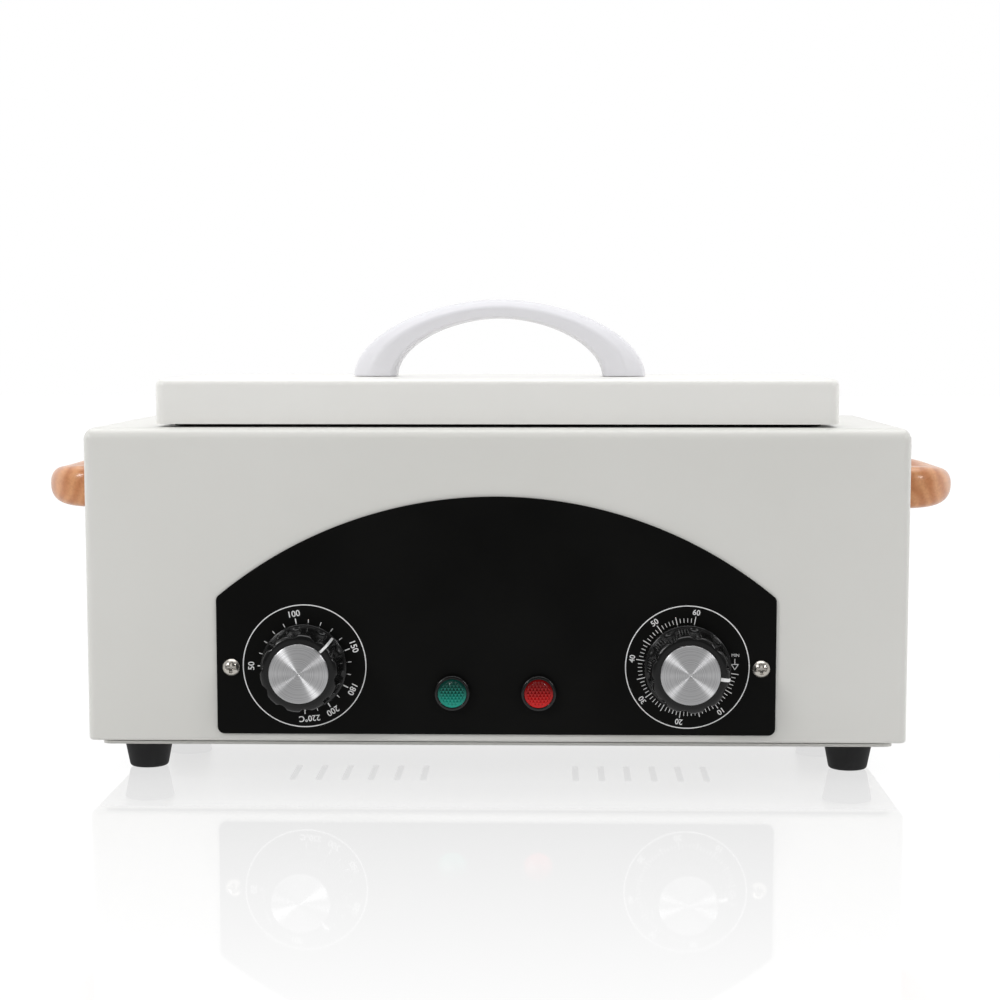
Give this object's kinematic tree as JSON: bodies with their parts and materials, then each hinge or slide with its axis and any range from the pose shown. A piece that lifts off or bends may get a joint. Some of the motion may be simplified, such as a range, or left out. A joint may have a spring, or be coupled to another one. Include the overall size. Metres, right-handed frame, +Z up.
{
  "type": "dry heat sterilizer",
  "caption": "Bench-top dry heat sterilizer: painted steel box with a hinged lid, arched control panel, temperature and timer knobs, pilot lamps and carrying handles.",
  "frame": {"origin": "on the surface that the feet stand on, below the centre of the whole object's box", "axes": "+X to the right as the operator sees it, along the object's longest side; +Y from the control panel to the hinges; +Z up"},
  "size_m": [0.4072, 0.1872, 0.2044],
  "materials": {
    "white_paint": "satin",
    "white_plastic": "gloss",
    "black_plate": "satin",
    "black_plastic": "gloss",
    "black_rubber": "matte",
    "spun_aluminium": "brushed",
    "stainless": "brushed",
    "nickel": "polished",
    "green_lens": "gloss",
    "red_lens": "gloss",
    "varnished_wood": "gloss",
    "glass_wool": "matte",
    "brown_phenolic": "satin",
    "copper": "satin"
  },
  "bodies": {
    "base": {"housing": "white_paint", "bottom_plate": "white_paint", "foot_front_left": "black_rubber", "foot_front_right": "black_rubber", "foot_rear_left": "black_rubber", "foot_rear_right": "black_rubber", "foot_screw_front_left": "nickel", "foot_screw_front_right": "nickel", "foot_screw_rear_left": "nickel", "foot_screw_rear_right": "nickel", "plate_screw_front_left": "nickel", "plate_screw_front_right": "nickel", "plate_screw_rear_left": "nickel", "plate_screw_rear_right": "nickel", "side_handle_left": "varnished_wood", "side_handle_right": "varnished_wood", "handle_screw_left_front": "nickel", "handle_screw_left_rear": "nickel", "handle_screw_right_front": "nickel", "handle_screw_right_rear": "nickel", "control_panel": "black_plate", "panel_screw_left": "nickel", "panel_screw_right": "nickel", "thermostat": "brown_phenolic", "timer": "nickel", "lamp_bezel_green": "black_plastic", "lamp_bezel_red": "black_plastic", "lamp_lens_green": "green_lens", "lamp_lens_red": "red_lens", "lamp_nut_green": "nickel", "lamp_nut_red": "nickel", "chamber": "stainless", "chamber_insulation": "glass_wool", "heater": "stainless", "sensor_bulb": "copper", "capillary_tube": "copper", "instrument_tray": "stainless", "tray_grip_left": "stainless", "tray_grip_right": "stainless", "cord_bush": "black_rubber", "terminal_block": "brown_phenolic", "hinge_leaf_lower_left": "stainless", "hinge_leaf_lower_right": "stainless", "hinge_pin_left": "nickel", "hinge_pin_right": "nickel"},
    "lid": {"lid_shell": "white_paint", "lid_liner": "stainless", "lid_insulation": "glass_wool", "lid_gasket": "black_rubber", "lid_handle": "white_plastic", "lid_handle_screw_left": "nickel", "lid_handle_screw_right": "nickel", "hinge_leaf_upper_left": "stainless", "hinge_leaf_upper_right": "stainless"},
    "temperature_knob": {"temperature_knob": "black_plastic", "temperature_knob_cap": "spun_aluminium", "temperature_shaft": "nickel"},
    "timer_knob": {"timer_knob": "black_plastic", "timer_knob_cap": "spun_aluminium", "timer_shaft": "nickel"}
  },
  "joints": [
    {"name": "lid_hinge", "type": "hinge", "parent": "base", "child": "lid", "pos_m": [0, 0.07215, 0.1523], "axis": [-1, 0, 0], "range_deg": [0, 95]},
    {"name": "temperature_turn", "type": "hinge", "parent": "base", "child": "temperature_knob", "pos_m": [-0.0814, -0.06995, 0.0483], "axis": [0, 1, 0], "range_deg": [-135, 135]},
    {"name": "timer_turn", "type": "hinge", "parent": "base", "child": "timer_knob", "pos_m": [0.0814, -0.06995, 0.0483], "axis": [0, 1, 0], "range_deg": [0, 270]}
  ]
}
